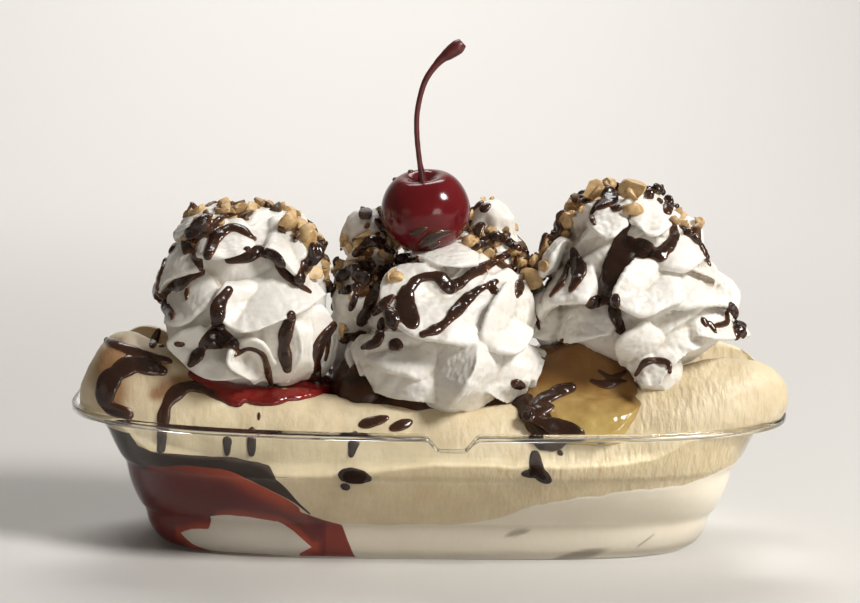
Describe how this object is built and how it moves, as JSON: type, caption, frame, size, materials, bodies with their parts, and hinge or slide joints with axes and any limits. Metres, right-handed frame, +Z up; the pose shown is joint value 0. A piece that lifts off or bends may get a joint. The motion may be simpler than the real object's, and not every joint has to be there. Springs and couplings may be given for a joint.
{
  "type": "banana split",
  "caption": "Banana split in a clear plastic boat dish: halved banana, ice cream, fruit and fudge toppings, whipped cream swirls and a stemmed cherry.",
  "frame": {"origin": "middle of the flat base of the dish, on the surface it rests on", "axes": "+Z up, +X along the dish towards the pineapple end, -Y towards the side with the sauce runs"},
  "size_m": [0.205, 0.0924, 0.1449],
  "materials": {
    "clear_plastic": "clear glossy thermoformed plastic",
    "banana": "moist pale fruit",
    "ice_cream": "soft serve, satin",
    "strawberry_sauce": "wet glossy sauce",
    "fudge_sauce": "wet glossy sauce",
    "pineapple_sauce": "wet glossy translucent sauce",
    "whipped_cream": "satin foam",
    "cherry_skin": "glossy candied skin",
    "cherry_stalk": "satin stalk"
  },
  "bodies": {
    "root": {"dish": "clear_plastic", "banana_front": "banana", "banana_back": "banana", "ice_cream": "ice_cream", "strawberry_topping": "strawberry_sauce", "fudge_run": "fudge_sauce", "fudge_topping": "fudge_sauce", "pineapple_topping": "pineapple_sauce", "whipped_cream_left": "whipped_cream", "whipped_cream_centre": "whipped_cream", "whipped_cream_right": "whipped_cream", "cherry": "cherry_skin", "cherry_stem": "cherry_stalk"}
  },
  "joints": []
}
